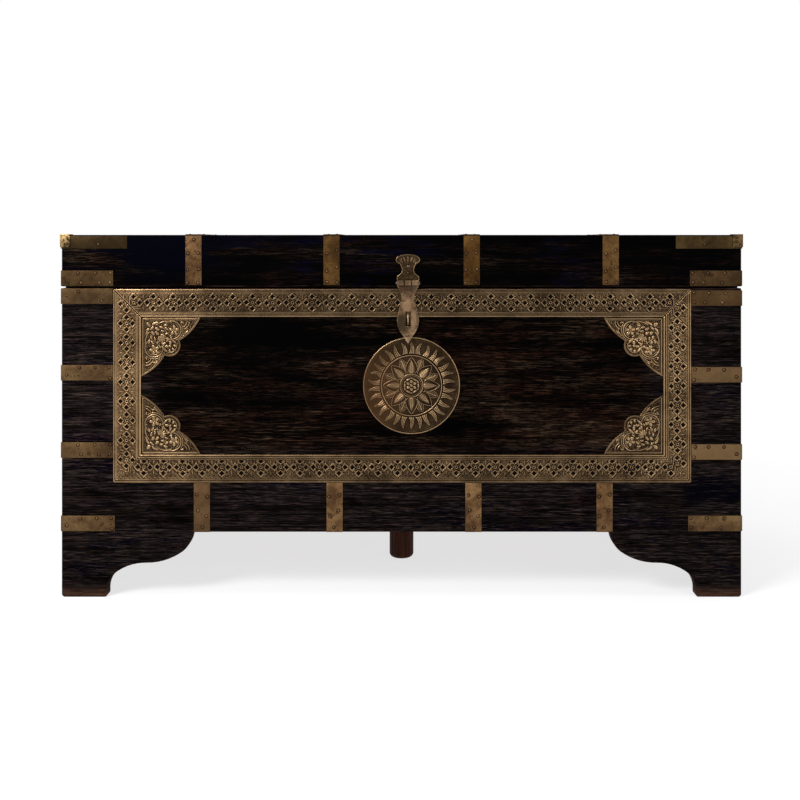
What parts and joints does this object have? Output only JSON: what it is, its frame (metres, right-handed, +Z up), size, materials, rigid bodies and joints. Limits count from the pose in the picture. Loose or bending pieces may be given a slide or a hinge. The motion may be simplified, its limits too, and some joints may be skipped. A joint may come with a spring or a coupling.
{
  "type": "dowry chest",
  "caption": "Dark plank chest on ogee bracket feet with a hinged lid, brass straps, a pierced brass frame, corner spandrels, a round medallion and a hasp.",
  "frame": {"origin": "on the floor under the centre foot, midway between the boards of the front and back and of the two sides", "axes": "+X to the right of the front, +Y from front to back, +Z up"},
  "size_m": [1.204, 0.4882, 0.6207],
  "materials": {
    "dark_wood": "dark stained, open grain, satin",
    "inner_wood": "bare inside wood",
    "red_wood": "reddish brown turned wood",
    "brass": "aged sheet brass",
    "bright_brass": "worn bright brass",
    "nail_brass": "aged brass",
    "pin_metal": "dull steel",
    "felt": "black felt"
  },
  "bodies": {
    "chest": {"front_board": "dark_wood", "back_board": "dark_wood", "left_side_board": "dark_wood", "right_side_board": "dark_wood", "bottom_board": "inner_wood", "bottom_battens": "inner_wood", "foot_bearer": "inner_wood", "centre_foot": "red_wood", "foot_blocks": "inner_wood", "rear_foot_brackets": "dark_wood", "rim_pads": "felt", "front_left_corner_straps": "brass", "front_right_corner_straps": "brass", "rear_left_corner_straps": "brass", "rear_right_corner_straps": "brass", "rail_bands": "brass", "frame_top": "brass", "frame_bottom": "brass", "frame_left": "brass", "frame_right": "brass", "spandrel_top_left": "brass", "spandrel_top_right": "brass", "spandrel_bottom_left": "brass", "spandrel_bottom_right": "brass", "medallion": "brass", "staple": "brass", "hinge_lower_leaves": "brass", "hinge_pins": "pin_metal", "left_handle_plate": "brass", "right_handle_plate": "brass", "chest_nails": "nail_brass"},
    "lid": {"lid_front": "dark_wood", "lid_back": "dark_wood", "lid_left_end": "dark_wood", "lid_right_end": "dark_wood", "lid_top": "dark_wood", "lid_corner_straps": "brass", "lid_crown_straps": "brass", "lid_corner_caps": "bright_brass", "lid_band_1": "brass", "lid_band_2": "brass", "lid_band_3": "brass", "lid_band_4": "brass", "hasp_plate": "brass", "hasp_pin": "pin_metal", "hasp_rivets": "nail_brass", "hinge_upper_leaves": "brass", "lid_nails": "nail_brass"},
    "hasp_arm": {"hasp": "brass"},
    "left_bail": {"left_handle": "brass"},
    "right_bail": {"right_handle": "brass"}
  },
  "joints": [
    {"name": "lid_hinge", "type": "hinge", "parent": "chest", "child": "lid", "pos_m": [0, 0.2342, 0.5285], "axis": [-1, 0, 0], "range_deg": [0, 95]},
    {"name": "hasp_hinge", "type": "hinge", "parent": "lid", "child": "hasp_arm", "pos_m": [0.011, -0.2341, 0.5359], "axis": [-1, 0, 0], "range_deg": [0, 170]},
    {"name": "left_handle_hinge", "type": "hinge", "parent": "chest", "child": "left_bail", "pos_m": [-0.593, 0, 0.385], "axis": [0, 1, 0], "range_deg": [-8, 90]},
    {"name": "right_handle_hinge", "type": "hinge", "parent": "chest", "child": "right_bail", "pos_m": [0.593, 0, 0.385], "axis": [0, -1, 0], "range_deg": [-8, 90]}
  ]
}
